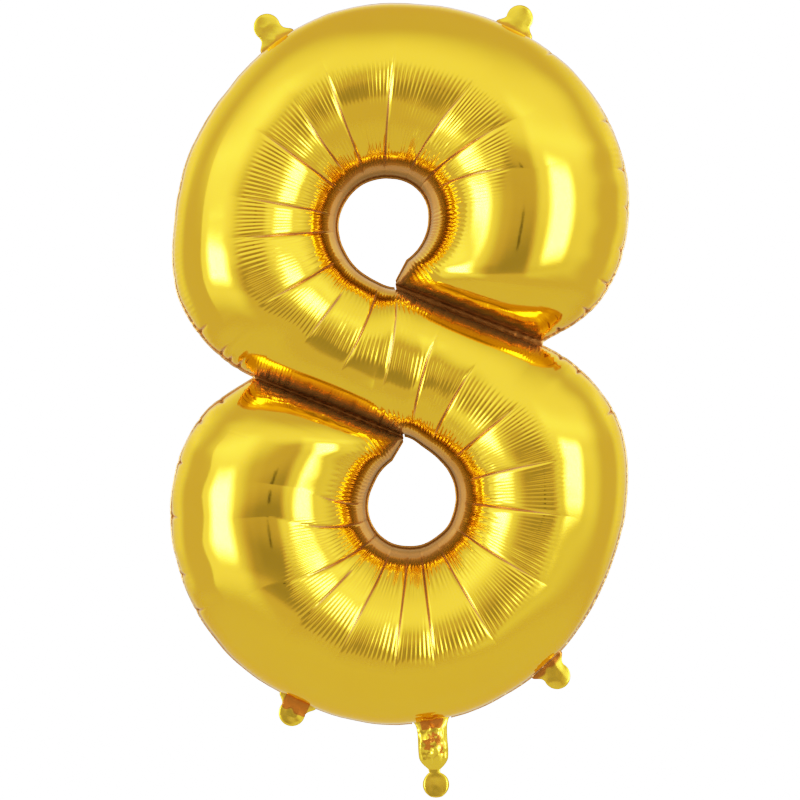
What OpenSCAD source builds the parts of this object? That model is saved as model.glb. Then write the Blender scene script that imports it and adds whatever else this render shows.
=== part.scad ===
// Foil number balloon, figure eight, 34 inch class, on a short tail with a self-sealing valve.
// Millimetres, +Z up, the front film faces -Y. The origin is the middle of the tail's waist,
// where the ribbon is tied.

/* [View] */
// Sub-part to show

/* [Figure] */
// Middle of the figure, from the tail's waist
centre_x = -42;
centre_z = 491;
// Upper eye from the middle of the figure; the lower eye is opposite it
eye_x = -18;
eye_z = 166;
// Outline radius about the upper eye every 20 degrees, from -40 degrees at the lobe's corner
upper_outline = [236, 277, 294, 297, 290, 277, 266, 261, 254, 247, 249, 253, 264, 255, 234];
// The same about the lower eye, turned half a turn
lower_outline = [239, 277, 293, 296, 292, 281, 275, 267, 259, 253, 250, 256, 263, 252, 232];
// Eye radius every 20 degrees, from -80 degrees at the beak round to 280 degrees
upper_eye = [55, 52, 51, 51, 52, 54, 55, 54, 52, 51, 51, 51, 52, 54, 56, 59, 64, 70, 79];
lower_eye = [55, 52, 51, 51, 54, 57, 59, 59, 57, 55, 52, 51, 49, 49, 50, 52, 55, 62, 75];
// Radius at the tip of each lobe's beak
beak_tips = [72, 70];
// Where the outline stops at each lobe's corner and at the stroke's corner, degrees
lobe_corner = -37;
stroke_corner = 230;
// Distance along the divider from the beak to the figure's middle section
middle_step = 22;

/* [Inflation] */
// Depth of half the tube over half its width
roundness = 0.84;
// How far round the loop the lobe's end takes to fill out, in stations
end_fill = 1.5;

/* [Film] */
film = 0.4;
seam_thickness = 0.6;
outer_seam_width = 3.5;
eye_seam_width = 3.5;

/* [Tabs] */
tab_round_r = 16;
tab_root_width = 42;
tab_waist_width = 29;
// Outline angle about its own eye, and reach of the round end's middle from the hinge
top_left_angle = 120.5;
top_left_reach = 19;
top_right_angle = 55;
top_right_reach = 15;
bottom_left_angle = 58;
bottom_left_reach = 18;
bottom_right_angle = 126;
bottom_right_reach = 19;
tab_hinge_gap = 0.5;

/* [Tail] */
neck_angle = 94.5;
neck_half_span = 5;
neck_root_width = 43;
neck_width = 36;
waist_width = 15;
neck_gap = 2.2;
mouth_lift = 2.5;
disc_r = 16;
disc_drop = 18;

/* [Valve] */
valve_width = 26;
valve_film = 0.3;
valve_gap = 0.4;
valve_inside = 58;
ink_width = 12;
ink_length = 60;

/* [Hidden] */
$fn = 64;
gold = [0.86, 0.68, 0.16];
gold_seam = [0.78, 0.52, 0.12];
clear_film = [0.86, 0.9, 0.92, 0.4];

centre = [centre_x, centre_z];
eye = [eye_x, eye_z];
outlines = [upper_outline, lower_outline];
eyes = [upper_eye, lower_eye];

// Eye station in degrees against outline station in degrees. Past 280 the eye side runs
// along the divider, and past 230 the outline side does, both up to the middle section.
stations = [[-80, -37], [-45, -22], [-10, -6], [28, 15], [43, 34], [62, 54], [89, 86],
            [112, 112], [130, 128], [147, 146], [175, 173], [193, 189], [222, 215],
            [241, 248], [264, 282], [280, 315], [380, 330]];
last = len(stations) - 1;
across = 12;
end_rows = 8;
run_step = 0.25;

function held(v, i) = v[max(0, min(len(v) - 1, i))];
function through(v, x) = let(i = floor(x), f = x - i,
    a = held(v, i - 1), b = held(v, i), c = held(v, i + 1), d = held(v, i + 2))
    b + 0.5 * f * ((c - a) + f * ((2 * a - 5 * b + 4 * c - d) + f * (3 * (b - c) + d - a)));
function between(a, b, f) = a + (b - a) * f;
function polar(r, a) = [r * cos(a), r * sin(a)];

// A point in a loop's own frame, put in the figure
function placed(k, p) = k == 0 ? centre + p : centre - p;
function outline_r(k, a) = through(outlines[k], (a + 40) / 20);
function eye_r(k, a) = through(eyes[k], (a + 80) / 20);
function outline_pt(k, a, out) = eye + polar(outline_r(k, a) - outer_seam_width + out, a);
function round_pt(k, a, in) = eye + polar(eye_r(k, a) + eye_seam_width - in, a);
// The last 20 degrees to the beak are straight
function eye_pt(k, a, in) = a >= -60 ? round_pt(k, a, in)
    : between(eye + polar(beak_tips[k] + eye_seam_width - in, -80), round_pt(k, -60, in), (a + 80) / 20);
function beak(k) = eye_pt(k, 280, 0);
function corner(k) = outline_pt(k, stroke_corner, 0);
function toward(a, b, d) = a + (b - a) * d / norm(b - a);
function middle_p(k) = toward(beak(k), -corner(1 - k), middle_step);
function p_pt(k, p) = p <= 280 ? eye_pt(k, p, 0) : between(beak(k), middle_p(k), (p - 280) / 100);
function q_pt(k, q) = q <= stroke_corner ? outline_pt(k, q, 0)
    : between(corner(k), -middle_p(1 - k), (q - stroke_corner) / 100);

function station(u) = let(i = min(last - 1, floor(u)), f = u - i)
    between(stations[i], stations[i + 1], f);

// Rows of one half: station, and how far the lobe's end has filled out in degrees
half_rows = concat([for (i = [0 : end_rows - 1])
                    [end_fill * (1 - cos(90 * i / end_rows)), 90 * i / end_rows]],
                   [for (i = [0 : (last - end_fill) / run_step + 0.01]) [end_fill + i * run_step, 90]]);
half_count = len(half_rows);
// Extra rows of the lower loop at the two ends of the mouth where the valve goes in
mouth_rows = [[6.12, 90], [6.18, 90], [6.46, 90], [6.52, 90]];
mouth_near = [for (r = half_rows) if (r[0] <= 6) r];
mouth_far = [for (r = half_rows) if (r[0] > 6.6) r];
valve_rows = concat(mouth_near, [mouth_rows[0], mouth_rows[1], [6.25, 90], [6.35, 90], mouth_rows[2],
                                 mouth_rows[3]], mouth_far);
valve_count = len(valve_rows);

function lift_at(k, q) = k == 0 ? 0
    : mouth_lift * max(0, min(1, (neck_half_span - abs(q - neck_angle)) / 1.2));

// One row: eye side point, outline side point, half depth, mouth lift, end closing
function row(k, r) = let(s = station(r[0]), p = p_pt(k, s[0]), q = q_pt(k, s[1]))
    [placed(k, p), placed(k, q), roundness * norm(q - p) / 2 * sin(r[1]),
     lift_at(k, s[1]), r[1]];
upper_rows = [for (r = half_rows) row(0, r)];
lower_rows = [for (i = [valve_count - 1 : -1 : 0]) row(1, valve_rows[i])];
// In the lower half the outline side and the eye side change places
rows = concat([for (r = upper_rows) [r[0], r[1], r[2], 0, r[3], r[4], 1]],
              [for (i = [1 : len(lower_rows) - 1]) let(r = lower_rows[i])
               [r[1], r[0], r[2], r[3], 0, r[4], -1]]);

// Film surface across one row, drawn in by a wall thickness
function heading(list, i) = let(a = list[max(0, i - 1)], b = list[min(len(list) - 1, i + 1)],
    m = (b[0] + b[1]) / 2 - (a[0] + a[1]) / 2) m / norm(m);
function film_pt(list, i, t, wall, side) = let(r = list[i], e = (r[1] - r[0]) / norm(r[1] - r[0]),
    go = heading(list, i) * wall * cos(r[5]) * r[6],
    a = r[0] + e * wall + go, b = r[1] - e * wall + go,
    f = (1 - cos(180 * t)) / 2, pos = a + (b - a) * f,
    lift = t <= 0 ? r[3] : t >= 1 ? r[4] : 0,
    deep = max(0, r[2] - wall * sin(r[5])) * sin(180 * t) + lift)
    [pos[0], side * deep, pos[1]];

module shell(list, side, wide, wall) {
    n = len(list);
    m = wide + 1;
    skin = n * m;
    outer = [for (i = [0 : n - 1]) for (j = [0 : wide]) film_pt(list, i, j / wide, 0, side)];
    inner = [for (i = [0 : n - 1]) for (j = [0 : wide]) film_pt(list, i, j / wide, wall, side)];
    grid = [for (i = [0 : n - 2]) for (j = [0 : wide - 1]) let(a = i * m + j)
            each [[a, a + m, a + m + 1], [a, a + m + 1, a + 1]]];
    under = [for (f = grid) [f[2] + skin, f[1] + skin, f[0] + skin]];
    long_rims = [for (i = [0 : n - 2]) let(a = i * m, b = a + wide)
                 each [[a, a + skin, a + m], [a + m, a + skin, a + m + skin],
                       [b, b + m, b + skin], [b + m, b + m + skin, b + skin]]];
    end_rims = [for (j = [0 : wide - 1]) let(a = j, b = (n - 1) * m + j)
                each [[a, a + 1, a + skin], [a + 1, a + 1 + skin, a + skin],
                      [b, b + skin, b + 1], [b + 1, b + skin, b + 1 + skin]]];
    faces = concat(end_rims, long_rims, under, grid);
    polyhedron(points = concat(outer, inner),
               faces = side < 0 ? faces : [for (f = faces) [f[2], f[1], f[0]]], convexity = 10);
}

// A flat fused strip or plate in the seam plane, from its outline in X and Z
module flat(points, thickness) {
    translate([0, thickness / 2, 0]) rotate([90, 0, 0]) linear_extrude(thickness) polygon(points);
}

// Outline angles of the panels' own rows, so that seams and panels share their corners
function row_angles(k) = [for (r = k == 0 ? half_rows : valve_rows) station(r[0])[1]];
function arc_points(k, from, to, out) = [for (a = concat([from],
    [for (b = row_angles(k)) if (b > from + 0.2 && b < to - 0.2) b], [to]))
    placed(k, outline_pt(k, a, out))];
// Outer edge of the notch between lobe and stroke
function notch(k) = let(a = placed(k, outline_pt(k, stroke_corner, 0)),
    b = placed(1 - k, outline_pt(1 - k, lobe_corner, 0)),
    m = (a + b) / 2, away = m - centre) m + away / norm(away) * (outer_seam_width * 1.5);

module front_panel() { color(gold) shell(rows, -1, across, film); }
module back_panel() { color(gold) shell(rows, 1, across, film); }

module outer_seam() {
    near = concat(arc_points(1, neck_angle + neck_half_span, stroke_corner, 0),
                  arc_points(0, lobe_corner, stroke_corner, 0),
                  arc_points(1, lobe_corner, neck_angle - neck_half_span, 0));
    far = concat(arc_points(1, neck_angle + neck_half_span, stroke_corner - 4, outer_seam_width),
                 [notch(1)], arc_points(0, lobe_corner + 4, stroke_corner - 4, outer_seam_width),
                 [notch(0)], arc_points(1, lobe_corner + 4, neck_angle - neck_half_span, outer_seam_width));
    color(gold_seam) flat(concat(near, [for (i = [len(far) - 1 : -1 : 0]) far[i]]), seam_thickness);
}

module eye_seam(k) {
    turns = [for (r = k == 0 ? half_rows : valve_rows) if (r[0] <= 15) station(r[0])[0]];
    n = len(turns) - 1;
    wide = [for (a = turns) placed(k, eye_pt(k, a, 0))];
    narrow = [for (i = [n : -1 : 0]) placed(k, eye_pt(k, turns[i], eye_seam_width))];
    color(gold_seam) flat(concat(wide, narrow), seam_thickness);
}
module upper_eye_seam() { eye_seam(0); }
module lower_eye_seam() { eye_seam(1); }

module divider_weld(k) {
    color(gold_seam)
    flat([placed(k, eye_pt(k, -80, 0)), placed(k, outline_pt(k, lobe_corner, 0)),
          placed(1 - k, corner(1 - k)), placed(k, beak(k))], seam_thickness);
}
module upper_divider_weld() { divider_weld(0); }
module lower_divider_weld() { divider_weld(1); }

// Tail neck: a flattened tube from the body to the waist
neck_top = placed(1, outline_pt(1, neck_angle, 0));
neck_left = placed(1, outline_pt(1, neck_angle - neck_half_span, 0));
neck_right = placed(1, outline_pt(1, neck_angle + neck_half_span, 0));
root_dir = (neck_right - neck_left) / norm(neck_right - neck_left);
root_down = [root_dir[1], -root_dir[0]];
hinge_at = neck_top + root_down * 0.5;
neck_root = hinge_at + root_down * neck_gap;
neck_foot = [0, 0.7];
// Share of the way down, full width, half depth
neck_form = [[0, neck_root_width, 1.6], [0.07, 39.5, 2.2], [0.16, 37, 3.2], [0.3, neck_width, 4.2],
             [0.45, neck_width, 4.6], [0.6, neck_width, 4.4], [0.72, neck_width, 3.8],
             [0.8, 34.5, 3.2], [0.87, 30, 2.6], [0.93, 24, 2], [0.975, 18, 1.5], [1, waist_width, 1.2]];
neck_rows = [for (f = neck_form) let(v = f[0], mid = between(neck_root, neck_foot, v),
             d = between(root_dir, [1, 0], v), e = d / norm(d))
             [mid - e * f[1] / 2, mid + e * f[1] / 2, f[2], 0, 0, 90, 1]];
module neck_front_film() { color(gold) shell([for (i = [len(neck_rows) - 1 : -1 : 0]) neck_rows[i]], -1, 10, film); }
module neck_back_film() { color(gold) shell([for (i = [len(neck_rows) - 1 : -1 : 0]) neck_rows[i]], 1, 10, film); }

// Valve tongue: two clear films in the neck and inside the body, with a printed strip between
valve_low = between(neck_foot, neck_root, 0.3);
valve_high = hinge_at - root_down * valve_inside;
valve_run = valve_high - valve_low;
valve_dir = valve_run / norm(valve_run);
valve_side = [valve_dir[1], -valve_dir[0]];
function along_valve(d, w) = valve_low + valve_dir * d + valve_side * w;
module valve_sheet(y) {
    n = norm(valve_run);
    w = valve_width / 2;
    color(clear_film) translate([0, y, 0])
    flat([along_valve(0, -w + 3), along_valve(0, w - 3), along_valve(8, w), along_valve(n, w),
          along_valve(n, -w), along_valve(8, -w)], valve_film);
}
module valve_front_film() { valve_sheet(-(valve_gap + valve_film) / 2); }
module valve_back_film() { valve_sheet((valve_gap + valve_film) / 2); }
module valve_ink_strip() {
    w = ink_width / 2;
    color([0.25, 0.25, 0.28])
    flat([along_valve(12, -w), along_valve(12, w), along_valve(12 + ink_length, w),
          along_valve(12 + ink_length, -w)], valve_gap);
}

// Round tie disc below the waist
module tail_disc() {
    color(gold) union() {
        translate([2, seam_thickness / 2, -disc_drop]) rotate([90, 0, 0]) cylinder(r = disc_r, h = seam_thickness);
        flat([[-waist_width / 2, -0.7], [waist_width / 2, -0.7], [waist_width / 2 - 1, -2.5], [9, -4.5],
              [8, -10], [-4, -10], [-6, -4.5], [-waist_width / 2 + 1, -2.5]], seam_thickness);
    }
}

// Hanging tab: a flared root, a short waist and a round end, standing off the outer seam
module tab(k, a, reach) {
    here = placed(k, outline_pt(k, a, outer_seam_width));
    before = placed(k, outline_pt(k, a - 4.5, outer_seam_width));
    after = placed(k, outline_pt(k, a + 4.5, outer_seam_width));
    d = (before - after) / norm(before - after);
    out = [-d[1], d[0]];
    base = here + out * 2 * tab_hinge_gap;
    w = tab_root_width / 2;
    v = tab_waist_width / 2;
    function at(x, z) = base + d * x + out * z;
    mid = at(0, reach);
    color(gold) union() {
        translate([mid[0], seam_thickness / 2, mid[1]]) rotate([90, 0, 0])
            cylinder(r = tab_round_r, h = seam_thickness);
        flat([at(-w, 0), at(w, 0), at(w - 2.5, 1.8), at(v + 1.5, 5), at(v, 8), at(v - 0.5, reach),
              at(-v + 0.5, reach), at(-v, 8), at(-v - 1.5, 5), at(-w + 2.5, 1.8)], seam_thickness);
    }
}
module top_left_tab() { tab(0, top_left_angle, top_left_reach); }
module top_right_tab() { tab(0, top_right_angle, top_right_reach); }
module bottom_left_tab() { tab(1, bottom_left_angle, bottom_left_reach); }
module bottom_right_tab() { tab(1, bottom_right_angle, bottom_right_reach); }

front_panel();
back_panel();
outer_seam();
upper_eye_seam();
lower_eye_seam();
upper_divider_weld();
lower_divider_weld();
neck_front_film();
neck_back_film();
valve_front_film();
valve_back_film();
valve_ink_strip();
tail_disc();
top_left_tab();
top_right_tab();
bottom_left_tab();
bottom_right_tab();
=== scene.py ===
import math
import bmesh
import bpy
import numpy as np
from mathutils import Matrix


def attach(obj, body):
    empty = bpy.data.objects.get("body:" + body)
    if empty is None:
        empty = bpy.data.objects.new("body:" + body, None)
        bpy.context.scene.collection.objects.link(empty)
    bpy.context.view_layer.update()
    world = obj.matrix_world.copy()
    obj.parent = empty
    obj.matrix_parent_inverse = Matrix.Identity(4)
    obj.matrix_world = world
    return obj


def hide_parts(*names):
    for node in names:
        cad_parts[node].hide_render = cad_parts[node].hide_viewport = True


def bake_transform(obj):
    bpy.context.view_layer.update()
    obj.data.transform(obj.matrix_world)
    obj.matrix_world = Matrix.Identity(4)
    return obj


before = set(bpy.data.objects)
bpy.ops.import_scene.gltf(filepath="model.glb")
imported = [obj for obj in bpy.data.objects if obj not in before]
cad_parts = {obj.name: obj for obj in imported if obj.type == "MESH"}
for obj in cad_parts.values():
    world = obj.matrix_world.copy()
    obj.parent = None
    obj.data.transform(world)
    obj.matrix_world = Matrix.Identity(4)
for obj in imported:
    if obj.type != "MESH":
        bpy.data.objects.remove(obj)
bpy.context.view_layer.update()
print("frame loaded:", len(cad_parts), "parts")

# All lengths below are millimetres until a mesh is written
toMetres = 0.001

# The figure: two loops about two eyes, one turned half a turn from the other
figure = {
    "centre": (-42.0, 491.0), "eye": (-18.0, 166.0),
    "outlines": [[236, 277, 294, 297, 290, 277, 266, 261, 254, 247, 249, 253, 264, 255, 234],
                 [239, 277, 293, 296, 292, 281, 275, 267, 259, 253, 250, 256, 263, 252, 232]],
    "eyes": [[55, 52, 51, 51, 52, 54, 55, 54, 52, 51, 51, 51, 52, 54, 56, 59, 64, 70, 79],
             [55, 52, 51, 51, 54, 57, 59, 59, 57, 55, 52, 51, 49, 49, 50, 52, 55, 62, 75]],
    "beakTips": (72, 70), "lobeCorner": -37, "strokeCorner": 230, "middleStep": 22,
    "seam": 3.5, "roundness": 0.84, "endFill": 1.15, "endSquare": 3.2, "valleySquare": 0.6,
    # How far the crest lies outward of the middle, at 0, 90 and 180 degrees about each eye
    "crestShift": [(-0.03, 0.04, 0.0), (0.0, 0.045, 0.015)],
    "stations": [(-80, -37), (-45, -22), (-10, -6), (28, 15), (43, 34), (62, 54), (89, 86),
                 (112, 112), (130, 128), (147, 146), (175, 173), (193, 189), (222, 215),
                 (241, 248), (264, 282), (280, 315), (380, 330)],
    # Where the outer seam is tucked, degrees about each eye
    "tucks": [[45, 24, 12, 3, -7, -16, -24, -32, 211, 219, 222, 225],
              [-27, -20, -9, 4, 18, 27, 204, 218, 224]],
}
centre, eye = np.array(figure["centre"]), np.array(figure["eye"])
seam = figure["seam"]


def ease(x, low, high):
    f = np.clip((x - low) / (high - low), 0, 1)
    return f * f * (3 - 2 * f)


def wander(x, step, seed):
    values = np.random.default_rng(seed).uniform(-1, 1, 997)
    g = np.asarray(x, float) / step
    i = np.floor(g).astype(int)
    f = g - i
    f = f * f * (3 - 2 * f)
    return values[i % 997] * (1 - f) + values[(i + 1) % 997] * f


def patches(x, z, step, seed):
    values = np.random.default_rng(seed).uniform(-1, 1, (61, 61))
    g, h = x / step, z / step
    i, j = np.floor(g).astype(int), np.floor(h).astype(int)
    f, e = ease(g - i, 0, 1), ease(h - j, 0, 1)
    low = values[i % 61, j % 61] * (1 - f) + values[(i + 1) % 61, j % 61] * f
    high = values[i % 61, (j + 1) % 61] * (1 - f) + values[(i + 1) % 61, (j + 1) % 61] * f
    return low * (1 - e) + high * e


def through(values, x):  # smooth curve through evenly spaced values
    v = np.asarray(values, float)
    i = np.floor(x).astype(int)
    f = x - i
    a, b, c, d = (v[np.clip(i + n, 0, len(v) - 1)] for n in (-1, 0, 1, 2))
    return b + 0.5 * f * ((c - a) + f * ((2 * a - 5 * b + 4 * c - d) + f * (3 * (b - c) + d - a)))


def polar(r, a):
    turn = np.radians(a)
    return np.stack([r * np.cos(turn), r * np.sin(turn)], -1)


def placed(k, p):
    return centre + p if k == 0 else centre - p


def edgeWave(k, a):  # the cut edge wavers and dips at each tuck
    wave = 0.45 * wander(a, 5, 3 + k) + 0.12 * wander(a, 1.3, 7 + k)
    for tuck in figure["tucks"][k]:
        wave = wave - 0.6 * np.exp(-((a - tuck) / 0.5) ** 2)
    return wave


def outlinePoint(k, a, out=0.0, wavy=0.0):
    a = np.asarray(a, float)
    r = through(figure["outlines"][k], (a + 40) / 20) - seam + out + wavy * edgeWave(k, a)
    return eye + polar(r, a)


def eyePoint(k, a, inward=0.0):
    a = np.asarray(a, float)
    table = figure["eyes"][k]
    curve = eye + polar(through(table, (a + 80) / 20) + seam - inward, a)
    tip = eye + polar(np.float64(figure["beakTips"][k] + seam - inward), np.float64(-80))
    root = eye + polar(np.float64(table[1] + seam - inward), np.float64(-60))
    f = np.clip((a + 80) / 20, 0, 1)[..., None]
    return np.where(a[..., None] < -60, tip + (root - tip) * f, curve)


def beak(k):
    return eyePoint(k, np.float64(280))


def strokeCorner(k):
    return outlinePoint(k, np.float64(figure["strokeCorner"]))


def lobeCorner(k):
    return outlinePoint(k, np.float64(figure["lobeCorner"]))


def middlePoint(k):
    way = -strokeCorner(1 - k) - beak(k)
    return beak(k) + way * figure["middleStep"] / np.linalg.norm(way)


def eyeSide(k, p):
    f = ((p - 280) / 100)[..., None]
    return np.where(p[..., None] <= 280, eyePoint(k, np.minimum(p, 280)),
                    beak(k) + (middlePoint(k) - beak(k)) * f)


def outlineSide(k, q):
    last = figure["strokeCorner"]
    f = ((q - last) / 100)[..., None]
    return np.where(q[..., None] <= last, outlinePoint(k, np.minimum(q, last)),
                    strokeCorner(k) + (-middlePoint(1 - k) - strokeCorner(k)) * f)


def stationsAt(u):  # eye side and outline side station, without kinks between the stations
    table = np.array(figure["stations"], float)
    step = np.diff(table, axis=0)
    slope = np.vstack([step[:1], 2 * step[:-1] * step[1:] / (step[:-1] + step[1:]), step[-1:]])
    i = np.clip(np.floor(u).astype(int), 0, len(table) - 2)
    f = (u - i)[:, None]
    return ((1 + 2 * f) * (1 - f) ** 2 * table[i] + f * (1 - f) ** 2 * slope[i]
            + f * f * (3 - 2 * f) * table[i + 1] + f * f * (f - 1) * slope[i + 1])


halfWalk = len(figure["stations"]) - figure["endFill"]


def sections(walk):
    lower = walk > halfWalk
    own = np.where(lower, 2 * halfWalk - walk, walk)
    closing = np.radians(90 * np.clip(own, 0, 1) ** 1.6)
    square = 2 / figure["endSquare"]
    u = np.where(own < 1, figure["endFill"] * (1 - np.clip(np.cos(closing), 0, 1) ** square),
                 figure["endFill"] + own - 1)
    u = np.clip(u, 0, len(figure["stations"]) - 1)
    p, q = stationsAt(u).T
    first = np.where(lower[:, None], placed(1, outlineSide(1, q)), placed(0, eyeSide(0, p)))
    second = np.where(lower[:, None], placed(1, eyeSide(1, p)), placed(0, outlineSide(0, q)))
    width = np.linalg.norm(second - first, axis=1)
    edge = np.where(lower, edgeWave(1, q), edgeWave(0, q)) * (1 - ease(q, 226, 232))
    return {"first": first, "second": second, "own": own, "lower": lower,
            "edge": edge[:, None] * polar(np.where(lower, -1.0, 1.0), q),
            "depth": figure["roundness"] * width / 2 * np.sin(closing) ** square,
            "eyeSquare": 2 + figure["valleySquare"] * ease(u, 14.2, 15.4),
            "rimSquare": 2 + figure["valleySquare"] * ease(u, 12.2, 13.6),
            "shift": sum(np.where(lower, -low, high) * np.exp(-((p - 90 * n) / 48) ** 2)
                         for n, (high, low) in enumerate(zip(*figure["crestShift"]))),
            "place": np.where(lower, 32 - u, u)}


def evenWalk(count):  # rows a steady distance apart along the tube's crest
    walk = np.linspace(0, 2 * halfWalk, 4001)
    s = sections(walk)
    crest = np.column_stack([(s["first"] + s["second"]) / 2, s["depth"]])
    run = np.concatenate([[0], np.cumsum(np.linalg.norm(np.diff(crest, axis=0), axis=1))])
    return np.interp(np.linspace(0, run[-1], count), run, walk), np.linspace(0, run[-1], count)


film = {
    "rows": 3400, "across": 80,
    # Fine comb over the crest: its pitch along the tube, and in degrees round it how far it runs
    "combPitch": 4.9, "comb": 0.46, "combLong": 34, "combTip": 74, "combGrow": 24,
    # Ripples on the inner wall, finer round the eye than in the lobe
    "ripple": 0.5, "rippleTurn": 2.6, "lobeRipple": 1.1, "lobeRippleTurn": 3.6,
    "crease": 2.6, "creaseWidth": 1.3, "scallop": 0.02, "scallopMost": 1.0, "scallopGap": 60,
    "tuck": 2.6, "tuckWidth": 1.5, "tuckReach": 17, "tuckSwell": 0.11, "tuckSwellMost": 1.3,
    "tuckGap": 25, "rimRipple": 0.12, "rimRippleTurn": 1.5,
    # Along the divider welds
    "pucker": 0.9, "puckerStep": 11, "fine": 0.22, "fineStep": 3.6, "pinch": 1.8, "pinchStep": 26,
    # The slack film is never quite even
    "sway": 0.4, "swayStep": 64, "roll": 0.35, "rollStep": 42,
    # Long creases about each eye: outer angle, outer radius, inner angle, inner radius
    "creases": [[(19, 155, 28, 80), (36, 175, 43, 65), (55, 185, 62, 65), (86, 190, 89, 65),
                 (112, 185, 113, 70), (128, 160, 131, 80), (146, 175, 147, 70),
                 (173, 165, 175, 70), (189, 170, 193, 70), (216, 175, 222, 80),
                 (238, 170, 241, 105), (254, 190, 264, 90), (269, 205, 278, 105)],
                [(-5, 115, 4, 65), (9, 140, 23, 65), (32, 165, 43, 65), (46, 175, 47, 110),
                 (63, 195, 65, 70), (83, 195, 83, 75), (97, 190, 97, 70), (120, 185, 118, 70),
                 (148, 175, 146, 65), (175, 170, 177, 70), (197, 165, 201, 75),
                 (223, 165, 227, 75), (246, 175, 253, 85), (262, 200, 270, 105)]],
}


def arch(phase, middle=0.64):  # rounded ridges with sharp valleys
    return np.abs(np.sin(np.pi * phase)) - middle


def between(offsets):  # the share of the way from one line to the next, and their distance
    below = np.where(offsets >= 0, offsets, 999).min(0)
    gap = below + np.where(offsets < 0, -offsets, 999).min(0)
    return below / np.maximum(gap, 0.01), gap


def aboutEye(k, plan, place):
    arm = (centre - plan if k else plan - centre) - eye
    expected = -60 + 345 / 16 * (32 - place if k else place)
    angle = np.degrees(np.arctan2(arm[..., 1], arm[..., 0]))
    return expected + (angle - expected + 180) % 360 - 180, np.hypot(arm[..., 0], arm[..., 1])


def comb(angle, theta, run, seed):  # each wrinkle has its own height and tip
    phase = run / film["combPitch"] + 0.7 * wander(run, 37, seed + 1)
    lively = 0.85 + 0.2 * wander(phase, 1.7, seed + 2) + 0.25 * wander(phase, 9, seed + 3)
    tip = film["combTip"] + film["combGrow"] * ease(angle, 0, 60) + 4 * ease(angle, 180, 260) \
        + 1.2 * wander(phase, 1.1, seed + 4) + 1.5 * wander(phase, 11, seed + 5)
    start = tip - film["combLong"] + 5 * wander(phase, 1.3, seed + 6)
    window = (0.15 * ease(theta, 44, 60) + 0.85 * ease(theta, start, start + 22)) \
        * (1 - ease(theta, tip - 6, tip + 1))
    wave = 0.6 * arch(phase) - 0.2 * np.cos(2 * np.pi * phase)
    return film["comb"] * wave * lively * window * ease(angle, 3, 22)


def wallRipples(angle, theta, seed):
    turn = angle / film["rippleTurn"] + 0.8 * wander(angle, 11, seed + 7)
    patchy = 0.6 + 0.6 * wander(turn, 1.3, seed + 8)
    height = film["ripple"] * np.sin(2 * np.pi * turn) * patchy * ease(angle, 0, 20) \
        * ease(theta, 22, 34) * (1 - ease(theta, 44, 60))
    turn = angle / film["lobeRippleTurn"] + 0.5 * wander(angle, 13, seed + 9)
    return height + film["lobeRipple"] * arch(turn) * (1 - ease(angle, 0, 18)) \
        * ease(angle, -70, -55) * ease(theta, 10, 18) * (1 - ease(theta, 38, 56))


def longCreases(k, side, angle, radius, theta, seed):  # the film swells out between them, and painted shade darkens each crease line
    height, paintedLineShade, offsets = np.zeros_like(theta), np.zeros_like(theta), []
    lines = np.array(film["creases"][k], float)
    if side > 0:  # the back creases a little elsewhere
        lines[:, 0] += 2 * wander(np.arange(len(lines)), 1, seed + 10)
        lines[:, 2] += 2 * wander(np.arange(len(lines)), 1, seed + 11)
    for n, (outerAngle, outerR, innerAngle, innerR) in enumerate(lines):
        f = (radius - innerR) / (outerR - innerR)
        at = innerAngle + (outerAngle - innerAngle) * np.clip(f, -0.3, 1.3)
        off = np.radians(angle - at) * radius
        offsets.append(angle - at)
        strength = 0.9 + 0.3 * wander(n, 1, seed + 12)
        fade = ease(f, -0.15, 0.1) * (1 - ease(f, 0.4, 1.06)) ** 0.8
        height -= film["crease"] * strength * fade * np.exp(-np.abs(off) / film["creaseWidth"])
        # painted shade along the crease line
        paintedLineShade = np.maximum(paintedLineShade, 0.9 * fade * np.exp(-(off / 1.1) ** 2))
    x, gap = between(np.array(offsets))
    swell = np.minimum(film["scallop"] * np.radians(gap) * radius, film["scallopMost"])
    height += np.where(gap < film["scallopGap"], swell * 4 * x * (1 - x), 0) \
        * ease(theta, 8, 34) * (1 - ease(theta, 78, 116))
    return height, paintedLineShade


def seamTucks(k, angle, radius, theta, seed):
    height, paintedLineShade, offsets = np.zeros_like(theta), np.zeros_like(theta), []
    rim = through(figure["outlines"][k], (np.clip(angle, -40, 240) + 40) / 20)
    for n, tuck in enumerate(figure["tucks"][k]):
        off = np.radians(angle - tuck) * radius
        offsets.append(angle - tuck)
        reach = film["tuckReach"] + 7 * wander(n, 1, seed + 13)
        fade = (1 - ease(rim - radius, 5, reach)) * ease(theta, 115, 135)
        height -= film["tuck"] * np.exp(-np.abs(off) / film["tuckWidth"]) * fade
        # painted shade along the tuck line
        paintedLineShade = np.maximum(paintedLineShade, np.exp(-(off / 1.7) ** 2) * fade)
    x, gap = between(np.array(offsets))
    swell = np.minimum(film["tuckSwellMost"], film["tuckSwell"] * gap) * np.sin(np.pi * x) ** 2
    height += np.where(gap < film["tuckGap"], swell, 0) \
        * ease(theta, 118, 145) * (1 - ease(theta, 168, 176))
    height += film["rimRipple"] * np.sin(2 * np.pi * angle / film["rimRippleTurn"]) \
        * ease(wander(angle, 6, seed + 14), 0.1, 0.6) * ease(theta, 146, 158)
    return height, paintedLineShade


def loopFields(k, side, plan, theta, place, run):
    seed = 100 * k + (0 if side < 0 else 50)
    own = ease(place, 14.8, 17.2) if k else 1 - ease(place, 14.8, 17.2)
    angle, radius = aboutEye(k, plan, place)
    creased, creaseShade = longCreases(k, side, angle, radius, theta, seed)
    tucked, tuckShade = seamTucks(k, angle, radius, theta, seed)
    height = comb(angle, theta, run, seed) + wallRipples(angle, theta, seed) + creased + tucked
    return height * own, np.maximum(creaseShade, tuckShade) * own


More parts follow.
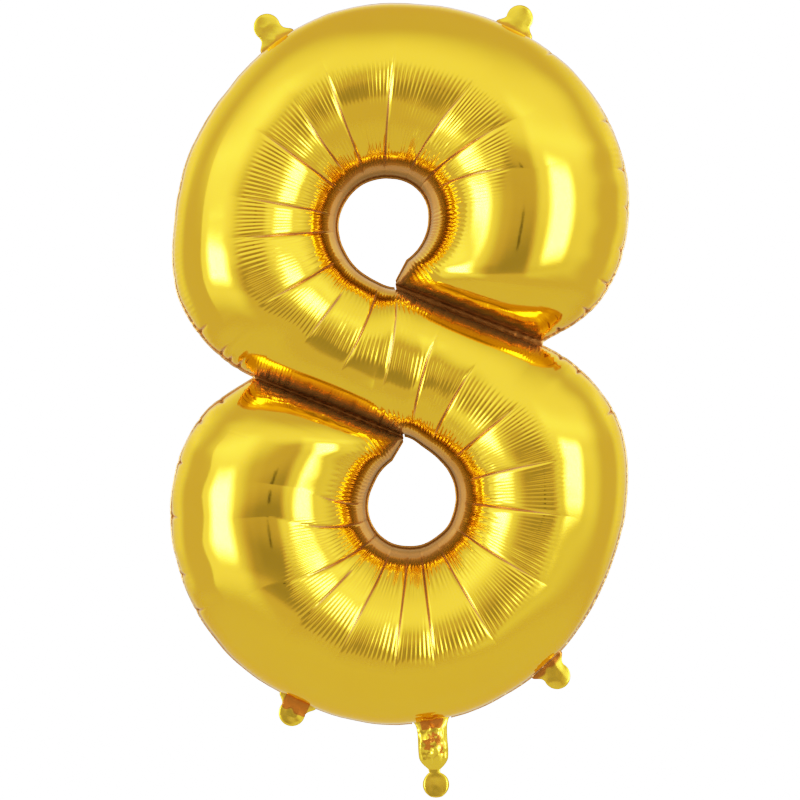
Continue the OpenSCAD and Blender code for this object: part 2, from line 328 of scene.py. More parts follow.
def alongDivider(k, plan):  # distances along the weld and across it, and the weld's length
    start, end = placed(k, beak(k)), placed(1 - k, strokeCorner(1 - k))
    length = np.linalg.norm(end - start)
    way, arm = (end - start) / length, plan - start
    return arm @ way, arm @ np.array([-way[1], way[0]]), length


def dividerFields(k, side, plan, theta):
    seed = 300 + 10 * k + (0 if side < 0 else 5)
    x, d, length = alongDivider(k, plan)
    height = np.zeros_like(theta)
    for half, sign in ((0, 1), (1, -1)):
        near, on = np.maximum(sign * d, 0), sign * d > 0
        phase = x / film["puckerStep"] + 0.8 * wander(x, 17, seed + half)
        strength = 0.7 + 0.5 * wander(phase, 1, seed + 2 + half)
        reach = 17 + 6 * wander(phase, 1, seed + 4 + half)
        fade = (1 - ease(near, 4, reach)) * ease(near, 0.2, 2)
        height += on * film["pucker"] * strength * arch(phase, 0.7) * fade
        fine = film["fine"] * np.sin(2 * np.pi * x / film["fineStep"]
                                     + 3 * wander(x, 9, seed + 6 + half))
        height += on * fine * (1 - ease(near, 8, 26)) * ease(near, 1, 4)
        pinchAt = (x / film["pinchStep"] + 0.6 * wander(x, 40, seed + 8 + half)) % 1
        pinch = np.exp(-np.abs(pinchAt - 0.5) * film["pinchStep"] / 1.2)
        height -= on * film["pinch"] * pinch * (1 - ease(near, 5, 20)) * ease(near, 0.5, 3)
    return height * ease(x, -6, 6) * (1 - ease(x, length - 3, length + 8))


def foldShade(k, plan, theta, place):  # painted shade: darker beside the eye's seam and along the divider
    own = ease(place, 15.6, 16.4) if k else 1 - ease(place, 15.6, 16.4)
    inward = 180 - theta if k else theta
    ring = own * (0.6 * (1 - ease(inward, 16, 38)) + 0.4 * (1 - ease(inward, 9, 22)))
    x, d, length = alongDivider(k, plan)
    inLine = ease(x, -8, 4) * (1 - ease(x, length - 6, length + 6))
    return np.maximum(ring, 0.5 * inLine * (1 - ease(np.abs(d), 4, 20)))


def panelPlaces(side):
    walk, run = evenWalk(film["rows"] + 1)
    s = sections(walk)
    theta = np.linspace(0, 180, film["across"] + 1)[None, :]  # degrees round the tube
    turned = np.cos(np.radians(theta))
    share = (1 - turned) / 2 + s["shift"][:, None] * (1 - turned ** 2)
    plan = s["first"][:, None] + (s["second"] - s["first"])[:, None] * share[..., None]
    toEye = (theta < 90) != s["lower"][:, None]
    square = np.where(toEye, s["eyeSquare"][:, None], s["rimSquare"][:, None])
    depth = s["depth"][:, None] * np.clip(1 - np.abs(turned) ** square, 0, 1) ** (1 / square)
    full = np.broadcast_to(theta, depth.shape)
    outer = np.where(s["lower"][:, None], 180 - full, full)
    plan = plan + s["edge"][:, None] * ease(outer, 146, 176)[..., None]
    base = np.stack([plan[..., 0], side * depth, plan[..., 1]], -1)
    normal = np.cross(np.gradient(base, axis=0), np.gradient(base, axis=1))
    normal /= np.linalg.norm(normal, axis=-1, keepdims=True) + 1e-9
    normal *= np.sign((normal[..., 1] * side).sum())
    place = np.broadcast_to(s["place"][:, None], depth.shape)
    crest = np.broadcast_to(run[:, None], depth.shape)
    height, shade = loopFields(0, side, plan, full, place, crest)
    lowerHeight, lowerShade = loopFields(1, side, plan, 180 - full, place, crest)
    height, shade = height + lowerHeight, np.maximum(shade, lowerShade)
    for k in (0, 1):
        height += dividerFields(k, side, plan, full)
        shade = np.maximum(shade, foldShade(k, plan, full, place))
    height += film["sway"] * ease(outer, 20, 60) \
        * patches(plan[..., 0] + 900, plan[..., 1] + 900, film["swayStep"], 41 + side)
    height += film["roll"] * wander(crest, film["rollStep"], 45 + side) * ease(outer, 100, 125)
    height *= ease(np.minimum(full, 180 - full), 0, 7) * ease(s["own"][:, None], 0, 0.3)
    return base + normal * height[..., None], np.stack([crest / 1000, full / 180], -1), shade


def newPiece(name, mesh):
    piece = bpy.data.objects.new(name, mesh)
    bpy.context.scene.collection.objects.link(piece)
    return piece


def layOut(name, places, spread, facing=None, shade=None):  # a grid laid on a sheet of places
    rows, columns = places.shape[0] - 1, places.shape[1] - 1
    made = bmesh.new()
    bmesh.ops.create_grid(made, x_segments=rows, y_segments=columns, size=1.0)
    mesh = bpy.data.meshes.new(name)
    made.to_mesh(mesh)
    made.free()
    flat = np.empty(len(mesh.vertices) * 3, np.float32)
    mesh.vertices.foreach_get("co", flat)
    flat = flat.reshape(-1, 3)
    i = np.rint((flat[:, 0] + 1) / 2 * rows).astype(int)
    j = np.rint((flat[:, 1] + 1) / 2 * columns).astype(int)
    mesh.vertices.foreach_set("co", (places[i, j] * toMetres).astype(np.float32).ravel())
    corner = np.empty(len(mesh.loops), np.int32)
    mesh.loops.foreach_get("vertex_index", corner)
    layer = mesh.uv_layers.new(name="film")
    layer.data.foreach_set("uv", spread[i[corner], j[corner]].astype(np.float32).ravel())
    # painted shade: a per-point amount of shade, which the foils turn into darker, browner colour
    if shade is not None:
        layer = mesh.attributes.new("paintedShade", "FLOAT", "POINT")
        layer.data.foreach_set("value", shade[i, j].astype(np.float32))
    mesh.polygons.foreach_set("use_smooth", np.ones(len(mesh.polygons), bool))
    mesh.update()
    if facing is not None:
        normals = np.empty(len(mesh.polygons) * 3, np.float32)
        mesh.polygons.foreach_get("normal", normals)
        if (normals.reshape(-1, 3) @ np.array(facing)).sum() < 0:
            mesh.flip_normals()
    return newPiece(name, mesh)


def twoSided(name, places, spread, shade=None):  # a slack pocket: the same film before and behind
    piece = layOut(name, places, spread, shade=shade)
    made = bmesh.new()
    made.from_mesh(piece.data)
    bmesh.ops.mirror(made, geom=made.verts[:] + made.edges[:] + made.faces[:],
                     axis="Y", merge_dist=1e-6)
    bmesh.ops.remove_doubles(made, verts=made.verts[:], dist=2e-6)
    bmesh.ops.dissolve_degenerate(made, dist=1e-6, edges=made.edges[:])
    bmesh.ops.recalc_face_normals(made, faces=made.faces[:])
    for face in made.faces:
        face.smooth = True
    made.to_mesh(piece.data)
    made.free()
    return piece


class Value:  # a socket that plain sums can be written with
    def __init__(self, shader, socket):
        self.shader, self.socket = shader, socket

    def math(self, operation, *values):
        return self.shader.node("ShaderNodeMath", {"operation": operation},
                                dict(enumerate(values)))

    def __add__(self, other):
        return self.math("ADD", self, other)

    def __sub__(self, other):
        return self.math("SUBTRACT", self, other)

    def __rsub__(self, other):
        return self.math("SUBTRACT", other, self)

    def __mul__(self, other):
        return self.math("MULTIPLY", self, other)

    def __neg__(self):
        return self.math("MULTIPLY", self, -1.0)

    __radd__, __rmul__ = __add__, __mul__

    def sized(self):
        return self.math("ABSOLUTE", self)

    def eased(self, low, high):  # 0 below low, 1 above high
        return self.shader.node("ShaderNodeMapRange", {"interpolation_type": "SMOOTHSTEP"},
                                {"Value": self, "From Min": low, "From Max": high})

    def within(self, low, high, softLow, softHigh):
        return self.eased(low - softLow, low) * (1 - self.eased(high, high + softHigh))


class Shader:
    def __init__(self, owner):
        owner.use_nodes = True
        self.tree = owner.node_tree
        self.tree.nodes.clear()

    def node(self, kind, settings=None, values=None, out=0):
        made = self.tree.nodes.new(kind)
        for name, value in (settings or {}).items():
            setattr(made, name, value)
        for name, value in (values or {}).items():
            if isinstance(value, Value):
                self.tree.links.new(value.socket, made.inputs[name])
            else:
                made.inputs[name].default_value = value
        return Value(self, made.outputs[out]) if len(made.outputs) else None

    def blended(self, factor, first, second):
        return self.node("ShaderNodeMix", {"data_type": "RGBA"},
                         {"Factor": factor, 6: first, 7: second}, out=2)


# What all the foils share, then each one: light and deep tones, and how rough and crinkled it is
foil = {"coatRough": 0.04, "coatBends": 1.5, "edge": (1.0, 0.75, 0.35, 1), "specular": 0.15,
        "shadeDull": 0.4}
foils = {
    # fold and innermost are painted shade colours for the deep folds beside the eye and along the
    # divider
    "goldFilm": {"light": (0.80, 0.475, 0.020, 1), "deep": (0.77, 0.44, 0.018, 1),
                 "rough": 0.05, "roughSpread": 0.05, "grain": 0.05, "crinkle": 0.03, "coat": 0.32,
                 "fold": (0.45, 0.22, 0.06, 1), "innermost": (0.24, 0.105, 0.025, 1)},
    "goldSeam": {"light": (0.54, 0.30, 0.09, 1), "deep": (0.48, 0.25, 0.07, 1),
                 "rough": 0.22, "roughSpread": 0.15, "grain": 0.2, "crinkle": 0.15, "coat": 0.1,
                 "scuffed": (0.60, 0.36, 0.16, 1)},
    # painted shade: the eye's seam band is coloured dark brown for the shade deep in the eye's
    # hollow
    "goldRimShade": {"light": (0.32, 0.14, 0.025, 1), "deep": (0.27, 0.11, 0.02, 1),
                "rough": 0.3, "roughSpread": 0.12, "grain": 0.1, "crinkle": 0.05, "coat": 0.0},
    # painted shade: the divider weld is coloured dark brown for the shade at the valley bottom; its
    # dull rough sheen is the seal's own
    "goldWeldShade": {"light": (0.26, 0.10, 0.02, 1), "deep": (0.13, 0.045, 0.01, 1),
                 "rough": 0.34, "roughSpread": 0.2, "grain": 0.3, "crinkle": 0.3, "coat": 0.0},
    # fold is a painted shade colour that darkens the tab roots and parts of the tail neck
    "goldTab": {"light": (0.80, 0.51, 0.03, 1), "deep": (0.76, 0.46, 0.025, 1),
                "rough": 0.12, "roughSpread": 0.1, "grain": 0.08, "crinkle": 0.06, "coat": 0.3,
                "fold": (0.36, 0.12, 0.012, 1)},
}


def foilMaterial(name, light, deep, rough, roughSpread, grain, crinkle, coat,
                 scuffed=None, fold=None, innermost=None):
    made = bpy.data.materials.new(name)
    s = Shader(made)
    where = s.node("ShaderNodeTexCoord", out="Object")
    broad = s.node("ShaderNodeTexNoise", {}, {"Vector": where, "Scale": 9.0, "Detail": 3.0})
    fine = s.node("ShaderNodeTexNoise", {}, {"Vector": where, "Scale": 520.0, "Detail": 2.0})
    scuff = s.node("ShaderNodeTexNoise", {}, {"Vector": where, "Scale": 60.0, "Detail": 5.0,
                                             "Roughness": 0.7})
    colour = s.blended(broad.eased(0.35, 0.75) * 0.5, light, deep)
    if scuffed:
        colour = s.blended(scuff.eased(0.3, 0.7), colour, scuffed)
    bump = s.node("ShaderNodeBump", {}, {"Strength": grain, "Distance": 0.0003, "Height": fine})
    bump = s.node("ShaderNodeBump", {}, {"Strength": crinkle, "Distance": 0.0015,
                                         "Height": scuff, "Normal": bump})
    metal, gloss, sheen = 1.0, coat, rough + scuff * roughSpread
    if fold:  # painted shade: where light passing between deep folds comes out browner and duller, the colour and sheen are painted so
        shadeAmount = s.node("ShaderNodeAttribute", {"attribute_name": "paintedShade"}, {}, out="Fac")
        colour = s.blended(shadeAmount.eased(0, 0.6), colour, fold)
        if innermost:
            colour = s.blended(shadeAmount.eased(0.7, 1), colour, innermost)
        metal, gloss = 1 - shadeAmount * foil["shadeDull"], coat - shadeAmount * coat
        sheen = sheen + shadeAmount * 0.15
    surface = s.node("ShaderNodeBsdfPrincipled", {}, {
        "Base Color": colour, "Metallic": metal, "Roughness": sheen,
        "Normal": bump, "Coat Weight": gloss, "Coat Roughness": foil["coatRough"],
        "Coat IOR": foil["coatBends"], "Specular Tint": foil["edge"],
        "Specular IOR Level": foil["specular"]})
    s.node("ShaderNodeOutputMaterial", {}, {"Surface": surface})
    return made


def clearMaterial():
    made = bpy.data.materials.new("clearFilm")
    s = Shader(made)
    where = s.node("ShaderNodeTexCoord", out="Object")
    haze = s.node("ShaderNodeTexNoise", {}, {"Vector": where, "Scale": 140.0, "Detail": 4.0})
    colour = s.blended(haze, (0.80, 0.86, 0.90, 1), (0.92, 0.94, 0.95, 1))
    bump = s.node("ShaderNodeBump", {}, {"Strength": 0.2, "Distance": 0.0008, "Height": haze})
    surface = s.node("ShaderNodeBsdfPrincipled", {}, {
        "Base Color": colour, "Roughness": 0.12 + haze * 0.2, "Normal": bump,
        "Alpha": 0.3 + haze * 0.2})
    s.node("ShaderNodeOutputMaterial", {}, {"Surface": surface})
    return made


def inkMaterial():
    made = bpy.data.materials.new("valveInk")
    s = Shader(made)
    where = s.node("ShaderNodeTexCoord", out="Object")
    dots = s.node("ShaderNodeTexNoise", {}, {"Vector": where, "Scale": 700.0, "Detail": 3.0})
    colour = s.blended(dots.eased(0.4, 0.7), (0.03, 0.03, 0.035, 1), (0.09, 0.09, 0.10, 1))
    surface = s.node("ShaderNodeBsdfPrincipled", {}, {"Base Color": colour,
                                                     "Roughness": 0.55 + dots * 0.25})
    s.node("ShaderNodeOutputMaterial", {}, {"Surface": surface})
    return made


def finishPiece(piece, material, body=None):
    piece.data.materials.append(material)
    if body:
        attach(piece, body)


def inMetres(point):
    return point[0] * toMetres, 0, point[1] * toMetres


goldFilm, goldSeam, goldRimShade, goldWeldShade, goldTab = (
    foilMaterial(name, **facts) for name, facts in foils.items())
print("foils mixed")

for side, name, node in ((-1, "frontFilm", "front_panel"), (1, "backFilm", "back_panel")):
    places, spread, shade = panelPlaces(side)
    panel = layOut(name, places, spread, (0, side, 0), shade)
    finishPiece(panel, goldFilm, "body")
    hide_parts(node)
print("films laid out")

# Fused bands: how far each reaches past the seam's line, and half its thickness
seams = {"columns": 6, "outer": (-0.6, 3.0), "outerBead": 0.7, "outerRough": 0.35,
         "eye": (3.2, -0.8), "eyeBead": 0.8, "eyeRough": 0.1, "eyeRipple": 0.12}
welds = {"rows": 260, "columns": 14, "overlap": 0.8, "flat": 0.4, "swell": 0.5, "grain": 0.2}


def strip(name, inner, outer, bead, rough, seed):
    f = np.linspace(0, 1, seams["columns"] + 1)[None, :, None]
    plan = inner[:, None] + (outer - inner)[:, None] * f
    run = np.concatenate([[0], np.cumsum(np.linalg.norm(np.diff(inner, axis=0), axis=1))])
    x = np.broadcast_to(run[:, None], plan.shape[:2])
    fold = rough * (wander(x, 4, seed) + 0.6 * wander(x, 1.6, seed + 1))
    deep = bead * np.sqrt(np.clip(1 - (2 * f[..., 0] - 1) ** 2, 0, 1)) * (1 + fold)
    places = np.stack([plan[..., 0], -deep, plan[..., 1]], -1)
    spread = np.stack([x / 1000, np.broadcast_to(f[..., 0], x.shape)], -1)
    return twoSided(name, places, spread)


def outerBand():  # from one side of the tail, over the top and down to the other
    up, over, down = np.linspace(99.5, 230, 520), np.linspace(-37, 230, 1000), \
        np.linspace(-37, 89.5, 520)
    inner, outer = (np.vstack([placed(k, outlinePoint(k, a, out, 1))
                               for k, a in ((1, up), (0, over), (1, down))])
                    for out in seams["outer"])
    return strip("outerSeamBand", inner, outer, seams["outerBead"], seams["outerRough"], 61)


def eyeBand(k, name):
    a = np.linspace(-79, 279, 900)
    ripple = seams["eyeRipple"] * wander(a, 9, 71 + k)[:, None]
    inner, outer = (placed(k, eyePoint(k, a, inward)) for inward in seams["eye"])
    return strip(name, inner + ripple, outer, seams["eyeBead"], seams["eyeRough"], 73 + k)


def weld(k, name):
    f = np.linspace(0, 1, welds["rows"])[:, None]
    low = placed(k, eyePoint(k, np.float64(-80))) * (1 - f) + placed(k, lobeCorner(k)) * f
    high = placed(k, beak(k)) * (1 - f) + placed(1 - k, strokeCorner(1 - k)) * f
    over = (low - high) / np.linalg.norm(low - high, axis=1, keepdims=True) * welds["overlap"]
    low, high = low + over, high - over
    g = np.linspace(0, 1, welds["columns"] + 1)[None, :]
    plan = high[:, None] + (low - high)[:, None] * g[..., None]
    x = f * 150
    deep = welds["flat"] + welds["swell"] * np.sin(np.pi * g) * (0.7 + 0.5 * wander(x, 5, 81 + k)) \
        + welds["grain"] * patches(plan[..., 0] + 900, plan[..., 1] + 900, 3.2, 83 + k)
    deep = deep * np.sin(np.pi * np.clip(g, 0.02, 0.98)) ** 0.4
    deep[:, [0, -1]] = deep[[0, -1], :] = 0
    places = np.stack([plan[..., 0], -deep, plan[..., 1]], -1)
    spread = np.stack(np.broadcast_arrays(x / 1000, g), -1)
    return twoSided(name, places, spread)


for piece, node, material in (
        (outerBand(), "outer_seam", goldSeam),
        (eyeBand(0, "upperEyeBand"), "upper_eye_seam", goldRimShade),
        (eyeBand(1, "lowerEyeBand"), "lower_eye_seam", goldRimShade),
        (weld(0, "upperDividerStrip"), "upper_divider_weld", goldWeldShade),
        (weld(1, "lowerDividerStrip"), "lower_divider_weld", goldWeldShade)):
    finishPiece(piece, material, "body")
    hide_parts(node)
print("seams made")

# Hanging tabs: angles about the loop's eye, and how far out the round end's middle lies.
# The root's painted shade is its strength, where it starts and ends, and what is left everywhere.
tabs = {
    "topLeftTab": {"node": "top_left_tab", "k": 0, "hingeAngle": 120.5, "angle": 120.7,
                   "reach": 18.5, "crumple": 0.3, "seed": 5, "rootShade": (0.35, -1, 5, 0)},
    "topRightTab": {"node": "top_right_tab", "k": 0, "hingeAngle": 55, "angle": 56,
                    "reach": 13, "crumple": 0.3, "seed": 6, "rootShade": (0.35, -1, 5, 0)},
    "bottomLeftTab": {"node": "bottom_left_tab", "k": 1, "hingeAngle": 58, "angle": 60,
                      "reach": 14, "crumple": 0.5, "seed": 7, "rootShade": (1, 9, 14, 0),
                      "shadeWidth": 17},
    "bottomRightTab": {"node": "bottom_right_tab", "k": 1, "hingeAngle": 126, "angle": 128.6,
                       "reach": 16, "crumple": 0.4, "seed": 8, "rootShade": (0.55, 0, 6, 0.12)},
}
tabShape = {"round": 16.2, "root": 24, "waist": 15.4, "pillow": 1.3, "halfSpan": 4.5,
            "overlap": 3.0, "across": 36, "bendBefore": 1.5, "bendAfter": 3.5}


def tabProfile(reach):  # distance out from the hinge line and half width there
    z = np.concatenate([np.linspace(-tabShape["overlap"], reach, 36)[:-1],
                        reach + tabShape["round"] * np.sin(np.radians(np.linspace(0, 90, 26)))])
    ball = np.sqrt(np.clip(tabShape["round"] ** 2 - (z - reach) ** 2, 0, None))
    flare = tabShape["waist"] + (tabShape["root"] - tabShape["waist"]) * (1 - ease(z, -2, 13)) ** 2
    return z, np.maximum(ball, np.where(z < reach, flare, 0))


def tabFrame(k, angle):
    here, before, after = (placed(k, outlinePoint(k, np.float64(angle + turn), seam))
                           for turn in (0, -tabShape["halfSpan"], tabShape["halfSpan"]))
    side = (before - after) / np.linalg.norm(before - after)
    return here, side, np.array([-side[1], side[0]])


def hangingTab(name, node, k, hingeAngle, angle, reach, crumple, seed, rootShade, shadeWidth=None):
    here, side, out = tabFrame(k, angle)
    z, half = tabProfile(reach)
    g = np.linspace(-1, 1, tabShape["across"] + 1)[None, :]
    x = half[:, None] * g
    zz = np.broadcast_to(z[:, None], x.shape)
    plan = here + out + side * x[..., None] + out * zz[..., None]
    rim = ease(1 - np.abs(g), 0, 0.12) * ease(reach + 16 - zz, 0, 2.2)
    cloud = patches(x + 200, zz + 200, 11, 90 + seed) \
        + 0.3 * patches(x + 200, zz + 200, 5, 95 + seed)
    crushed = 0.5 * cloud - np.abs(patches(x + 300, zz + 300, 13, 99 + seed)) + 0.4
    deep = 0.3 + rim * (tabShape["pillow"] * (1 - g * g) + crumple * crushed)
    deep = np.maximum(deep, 0.15) * np.where(np.abs(g) > 0.999, 0, 1)
    deep[-1] = 0
    places = np.stack([plan[..., 0], -deep, plan[..., 1]], -1)
    # painted shade, darker towards the tab's root
    strength, low, high, everywhere = rootShade
    ragged = zz + 3 * patches(x + 200, zz + 200, 7, 131 + seed)
    shade = strength * (1 - ease(ragged, low, high)) + everywhere
    if shadeWidth:
        shade = shade * ease(1 - np.abs(x) / shadeWidth, 0, 0.2)
    piece = twoSided(name, places, np.stack([x / 1000, zz / 1000], -1), shade)
    finishPiece(piece, goldTab)
    here, side, out = tabFrame(k, hingeAngle)
    hinge = here + out * 0.5
    inMetres(hinge - out * tabShape["bendBefore"])
    inMetres(hinge + out * tabShape["bendAfter"])
    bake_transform(piece)
    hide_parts(node)


for name, facts in tabs.items():
    hangingTab(name, **facts)
print("tabs made")

tail = {
    "angle": 94.5, "span": 5, "overlap": 1.5, "foot": (0, 0.2), "rows": 120, "across": 60,
    # Share of the way down, full width, half depth
    "form": [(0, 47, 2.0), (0.07, 41, 2.6), (0.16, 37.5, 3.4), (0.3, 36, 4.4), (0.45, 36, 4.8),
             (0.6, 36.5, 4.6), (0.72, 36, 4.0), (0.8, 34.5, 3.4), (0.87, 30, 2.8),
             (0.93, 24, 2.2), (0.975, 18, 1.6), (1, 15, 1.3)],
    "crumple": 1.2, "bendBefore": 2.5, "bendAfter": 9,
}
disc = {"round": 16, "drop": 18, "waist": 7.4, "aside": 2, "overlap": 1.2, "across": 36}
valve = {"rows": 26, "rowApart": 0.004}
neckTop, neckLeft, neckRight = (placed(1, outlinePoint(1, np.float64(tail["angle"] + turn)))
                                for turn in (0, -tail["span"], tail["span"]))
rootWay = (neckRight - neckLeft) / np.linalg.norm(neckRight - neckLeft)
rootDown = np.array([rootWay[1], -rootWay[0]])
neckHinge = neckTop + rootDown * 0.5
bendStart = inMetres(neckHinge - rootDown * tail["bendBefore"])
bendEnd = inMetres(neckHinge + rootDown * tail["bendAfter"])


def tailNeck():
    share, widths, halves = np.array(tail["form"]).T
    v = np.linspace(0, 1, tail["rows"])
    at = np.interp(v, share, np.arange(len(share)))
    width, half = through(widths, at)[:, None], through(halves, at)[:, None]
    root, foot = neckTop - rootDown * tail["overlap"], np.array(tail["foot"])
    v = v[:, None]
    middle = root + (foot - root) * v
    way = rootWay * (1 - v) + np.array([1, 0]) * v
    way /= np.linalg.norm(way, axis=1, keepdims=True)
    g = np.linspace(-1, 1, tail["across"] + 1)[None, :]
    plan = middle[:, None] + way[:, None] * (width / 2 * g)[..., None]
    x = width / 2 * g + 200
    z = np.broadcast_to(v * 60, x.shape) + 200
    cloud = 1 - 2 * np.abs(patches(x, z, 12, 111)) + 0.5 * (1 - 2 * np.abs(patches(x, z, 7, 112)))
    bulge = np.sqrt(np.clip(1 - g * g, 0, 1))
    deep = half * bulge + tail["crumple"] * cloud * bulge ** 0.7 \
        * ease(v, 0.03, 0.2) * (1 - ease(v, 0.85, 1) * 0.8)
    deep = np.maximum(deep, 0.2) * np.where(np.abs(g) > 0.999, 0, 1)
    places = np.stack([plan[..., 0], -deep, plan[..., 1]], -1)
    down, across = np.broadcast_to(v, x.shape), np.abs(np.broadcast_to(g, x.shape))
    # painted shade: the top of the neck and a ragged patch part way down are painted browner
    ragged = 0.07 * patches(x, z, 6, 141) + 0.05 * patches(x, z, 3, 142)
    top = (1 - ease(np.abs(down - 0.1 + ragged * 0.3) / 0.11, 0.75, 1)) \
        * (1 - ease(across, 0.62, 0.72))
    crushed = (1 - ease(np.abs(down - 0.47 + ragged) / 0.17, 0.7, 1)) \
        * (1 - ease(across + 3 * ragged, 0.5, 0.66)) * ease(patches(x, z, 4.5, 143), -0.55, -0.25)
    shade = np.maximum(0.8 * top, 0.9 * crushed)
    piece = twoSided("tailNeck", places, np.stack([x / 1000, z / 1000], -1), shade)
    finishPiece(piece, goldTab)
    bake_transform(piece)
    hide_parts("neck_front_film", "neck_back_film")


def tailDisc():
    r, drop = disc["round"], disc["drop"]
    z = np.concatenate([np.linspace(disc["overlap"], -drop, 40)[:-1],
                        -drop - r * np.sin(np.radians(np.linspace(0, 90, 26)))])
    ball = np.sqrt(np.clip(r ** 2 - (z + drop) ** 2, 0, None))
    waist = disc["waist"] - 0.8 * ease(-z, 0, 5)
    half = np.where(z > -drop, np.maximum(ball, np.where(z > -drop / 2, waist, 0)), ball)
    g = np.linspace(-1, 1, disc["across"] + 1)[None, :]
    x = (disc["aside"] * ease(-z, 0, 9))[:, None] + half[:, None] * g
    zz = np.broadcast_to(z[:, None], x.shape)
    cloud = patches(x + 200, zz + 200, 12, 121) + 0.3 * patches(x + 200, zz + 200, 6, 122)
    rim = ease(1 - np.abs(g), 0, 0.14) * ease(zz + drop + r, 0, 2.5)
    deep = 0.3 + rim * (0.7 * (1 - g * g) + 0.35 * cloud + 0.1 * (2 - zz))
    deep = np.maximum(deep, 0.15) * np.where(np.abs(g) > 0.999, 0, 1)
    deep[-1] = 0
    piece = twoSided("tieDisc", np.stack([x, -deep, zz], -1),
                     np.stack([x / 1000, zz / 1000], -1))
    finishPiece(piece, goldTab)
    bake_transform(piece)
    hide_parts("tail_disc")


def valvePiece(name, node, material):  # the tongue is cut into rows across the neck's hinge line
    made, part = bmesh.new(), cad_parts[node]
    made.from_mesh(part.data)
    made.transform(part.matrix_world)
    bmesh.ops.remove_doubles(made, verts=made.verts[:], dist=1e-6)
    bmesh.ops.dissolve_limit(made, angle_limit=0.01, verts=made.verts[:], edges=made.edges[:])
    down = np.array([rootDown[0], 0, rootDown[1]])
    hinge = np.array(inMetres(neckHinge))
    for row in range(valve["rows"]):
        cut = hinge + down * valve["rowApart"] * (row - valve["rows"] / 2 + 0.5)
        bmesh.ops.bisect_plane(made, geom=made.verts[:] + made.edges[:] + made.faces[:],
                               plane_co=cut, plane_no=down, dist=1e-7)
    bmesh.ops.recalc_face_normals(made, faces=made.faces[:])
    mesh = bpy.data.meshes.new(name)
    made.to_mesh(mesh)
    made.free()
    piece = newPiece(name, mesh)
    finishPiece(piece, material)
    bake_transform(piece)
    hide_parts(node)


tailNeck()
tailDisc()
clearFilm, valveInk = clearMaterial(), inkMaterial()
for name, node, material, slot in (
        ("valveFrontFilm", "valve_front_film", clearFilm, "clear_film"),
        ("valveBackFilm", "valve_back_film", clearFilm, "clear_film"),
        ("valveInkStrip", "valve_ink_strip", valveInk, "valve_ink")):
    valvePiece(name, node, material)
print("tail made")

studio = {
    "camera": (-0.0412, -2.0, 0.4434), "lens": 75, "floorDrop": 0.60, "floorRadius": 2.2,
    "unit": 0.8, "backdrop": 1.9,  # the room's light on the film, and the wall behind it
    "sky": 0.95, "horizon": 0.37, "nearCamera": 0.10, "cameraShade": 0.5,
    "leftWindow": 17, "leftGlow": 1.0, "rightWindow": 15, "rightGlow": 0.8,
    "backSky": 0.55, "backHorizon": 0.3, "backGlow": 0.6,
    # The brightest reflections roll off gently: light held, light shown
    "rollOff": ((0.15, 0.15), (0.35, 0.35), (0.55, 0.55), (0.75, 0.672), (0.89, 0.745),
                (1.05, 0.82), (1.4, 0.925), (1.65, 0.97)),
}


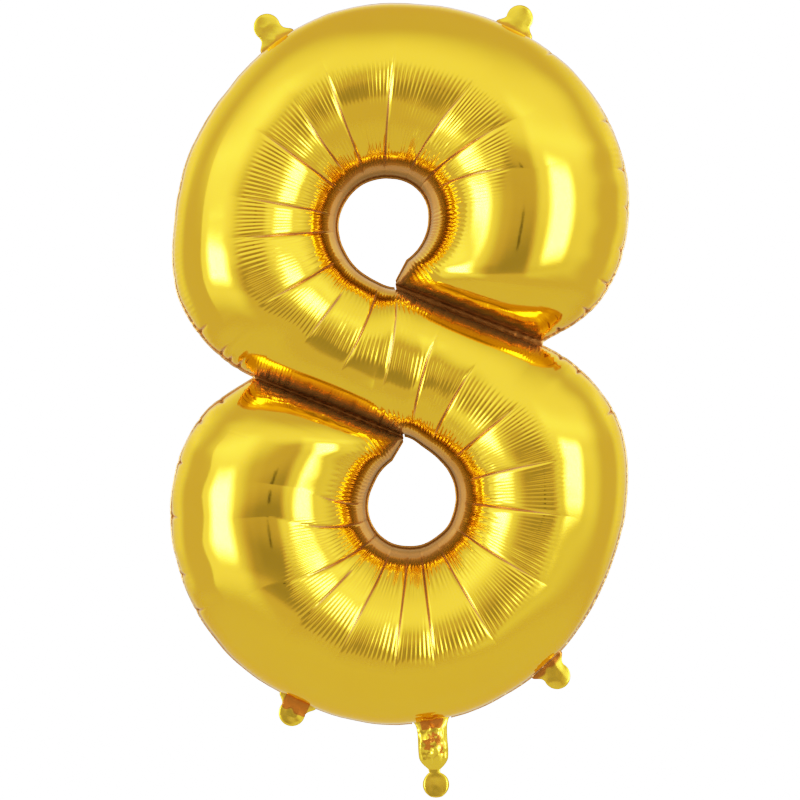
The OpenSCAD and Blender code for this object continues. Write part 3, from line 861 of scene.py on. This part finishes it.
def studioWorld():
    world = bpy.data.worlds.new("studio")
    bpy.context.scene.world = world
    s = Shader(world)
    way = s.node("ShaderNodeTexCoord", out="Generated")
    x, y, z = (s.node("ShaderNodeSeparateXYZ", {}, {0: way}, out=n) for n in (0, 1, 2))
    # Degrees round the room from the front, and up from level
    az = x.math("ARCTAN2", x, -y) * (180 / math.pi)
    el = z.math("ARCSINE", z) * (180 / math.pi)
    off = az.sized()
    offBack = x.math("ARCTAN2", x, y).sized() * (180 / math.pi)
    sky = el.eased(9, 26) * (1 - el.eased(32, 74)) * (1 - off.eased(50, 95))
    horizon = el.within(-15, -6, 5, 12) * (1 - off.eased(40, 70))
    nearCamera = off.within(-1, 8, 1, 9) * el.within(-9, 8, 9, 9)
    cameraShade = off.within(-1, 0.7, 1, 0.8) * el.within(-2.2, 2.2, 1, 1)
    leftGlow = az.within(-69, -38, 3, 20) * el.within(-17, 24, 18, 16)
    leftWindow = az.within(-55, -43, 11, 12) * el.within(-9, 5, 10, 12)
    rightGlow = az.within(18, 54, 9, 28) * el.within(-9, 20, 20, 16)
    rightWindow = az.within(29, 41, 9, 10) * el.within(-8, 9, 9, 9)
    backSky = el.eased(9, 26) * (1 - el.eased(30, 58)) * (1 - offBack.eased(50, 95))
    backGlow = offBack.within(28, 56, 9, 20) * el.within(-9, 18, 18, 16)
    backHorizon = el.within(-15, -6, 5, 12) * (1 - offBack.eased(30, 60))
    light = 1 + studio["sky"] * sky - studio["horizon"] * horizon \
        - studio["nearCamera"] * nearCamera
    light = light + (studio["backSky"] * backSky + studio["backGlow"] * backGlow
                     - studio["backHorizon"] * backHorizon) - studio["cameraShade"] * cameraShade
    light = light + studio["leftGlow"] * leftGlow \
        + studio["leftWindow"] * (leftWindow * leftWindow) \
        + studio["rightGlow"] * rightGlow + studio["rightWindow"] * (rightWindow * rightWindow)
    seen = s.node("ShaderNodeLightPath", {}, {}, out="Is Camera Ray")
    strength = light * studio["unit"] * (1 - seen) + seen * studio["backdrop"]
    s.node("ShaderNodeOutputWorld", {}, {"Surface": s.node(
        "ShaderNodeBackground", {}, {"Color": (1, 1, 1, 1), "Strength": strength})})


def paleFloor():
    made = bmesh.new()
    bmesh.ops.create_circle(made, cap_ends=True, segments=96, radius=studio["floorRadius"])
    bmesh.ops.translate(made, verts=made.verts[:], vec=(0, 0, -studio["floorDrop"]))
    mesh = bpy.data.meshes.new("paleFloor")
    made.to_mesh(mesh)
    made.free()
    floor = newPiece("paleFloor", mesh)
    material = bpy.data.materials.new("palePaper")
    s = Shader(material)
    where = s.node("ShaderNodeTexCoord", out="Object")
    far = s.node("ShaderNodeVectorMath", {"operation": "LENGTH"}, {0: where}, out=1)
    fibre = s.node("ShaderNodeTexNoise", {}, {"Vector": where, "Scale": 40.0})
    paper = s.node("ShaderNodeBsdfPrincipled", {}, {
        "Base Color": (0.5, 0.5, 0.5, 1), "Roughness": 0.7 + fibre * 0.2,
        "Emission Color": (1, 1, 1, 1), "Emission Strength": 0.3})
    clear = s.node("ShaderNodeBsdfTransparent")
    surface = s.node("ShaderNodeMixShader", {}, {0: far.eased(1.2, 2.1), 1: paper, 2: clear})
    s.node("ShaderNodeOutputMaterial", {}, {"Surface": surface})
    floor.data.materials.append(material)


def camera():
    data = bpy.data.cameras.new("camera")
    data.sensor_width, data.lens, data.clip_end = 36, studio["lens"], 100
    eyeLine = newPiece("camera", data)
    eyeLine.location = studio["camera"]
    eyeLine.rotation_euler = (math.radians(90), 0, 0)
    bpy.context.scene.camera = eyeLine


def softHighlights():
    view = bpy.context.scene.view_settings
    view.view_transform, view.look, view.use_curve_mapping = "Standard", "None", True
    white = studio["backdrop"]
    view.curve_mapping.white_level = (white, white, white)
    line = view.curve_mapping.curves[3]
    for held, shown in studio["rollOff"]:
        line.points.new(held / white, shown)
    for point in line.points:
        point.handle_type = "AUTO_CLAMPED"
    view.curve_mapping.update()


studioWorld()
paleFloor()
camera()
softHighlights()
print("studio set")
